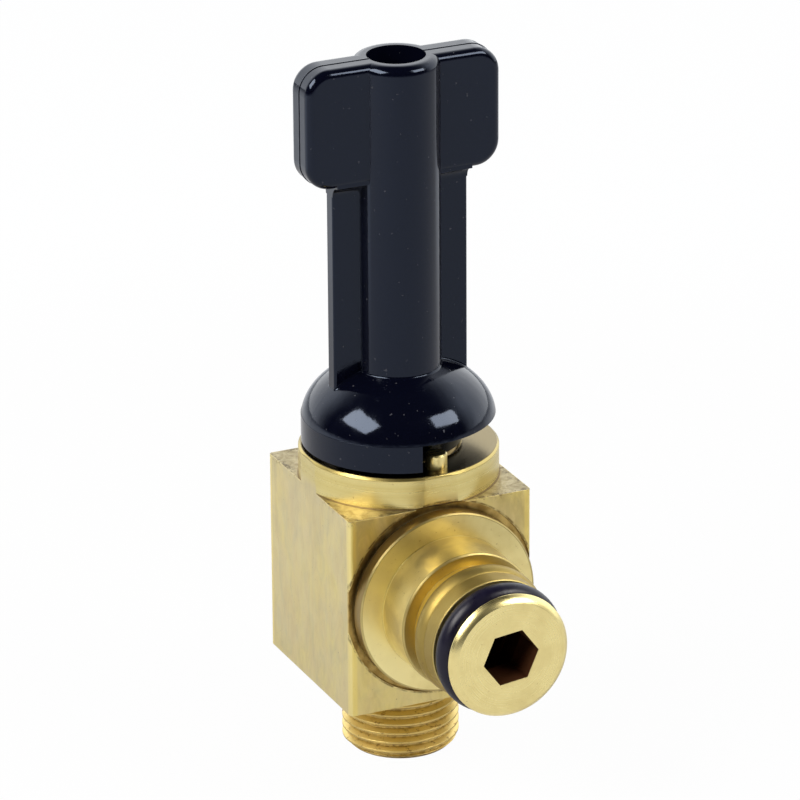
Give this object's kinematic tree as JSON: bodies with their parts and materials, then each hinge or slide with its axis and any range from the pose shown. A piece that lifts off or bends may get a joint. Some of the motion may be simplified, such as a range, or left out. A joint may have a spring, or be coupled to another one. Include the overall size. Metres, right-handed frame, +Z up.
{
  "type": "needle valve",
  "caption": "Small angle needle valve: square brass body with a threaded inlet below, a black turn-knob on top with a stop pin, and a plug-in outlet nipple with an O-ring.",
  "frame": {"origin": "on the spindle axis, at the body's bottom face, the shoulder above the inlet thread", "axes": "+Z up the spindle towards the knob, -Y out along the outlet nipple"},
  "size_m": [0.021, 0.0362, 0.0741],
  "materials": {
    "drawn_brass": "drawn square bar, satin with fine lengthwise streaks, turned on its ends",
    "turned_brass": "bright turned brass with fine tool rings",
    "stainless": "plain stainless steel",
    "rubber": "smooth black nitrile rubber",
    "gasket": "dark fibre sealing washer",
    "white_plastic": "natural PTFE",
    "knob_plastic": "glossy black moulded plastic"
  },
  "bodies": {
    "valve": {"valve_body": "drawn_brass", "seat_insert": "stainless", "outlet_nipple": "turned_brass", "nipple_gasket": "gasket", "coupling_o_ring": "rubber", "stop_pin": "turned_brass", "bonnet": "turned_brass", "bonnet_o_ring": "rubber"},
    "spindle_seals": {"spindle_o_rings": "rubber", "backup_ring": "white_plastic"},
    "turning_parts": {"spindle": "turned_brass", "needle": "stainless", "spindle_clip": "stainless", "knob": "knob_plastic", "knob_insert": "turned_brass", "knob_screw": "stainless", "knob_washer": "stainless", "knob_spring_washer": "stainless"}
  },
  "joints": [
    {"name": "spindle_lift", "type": "slide", "parent": "valve", "child": "spindle_seals", "axis": [0, 0, 1], "range_m": [-0.0003019, 0.0000088]},
    {"name": "knob_turn", "type": "hinge", "parent": "spindle_seals", "child": "turning_parts", "pos_m": [0, 0, 0], "axis": [0, 0, 1], "range_deg": [-217.4, 6.4]}
  ],
  "couplings": [
    {"joint": "knob_turn", "follows": "spindle_lift", "rad_per_m": 12566}
  ]
}
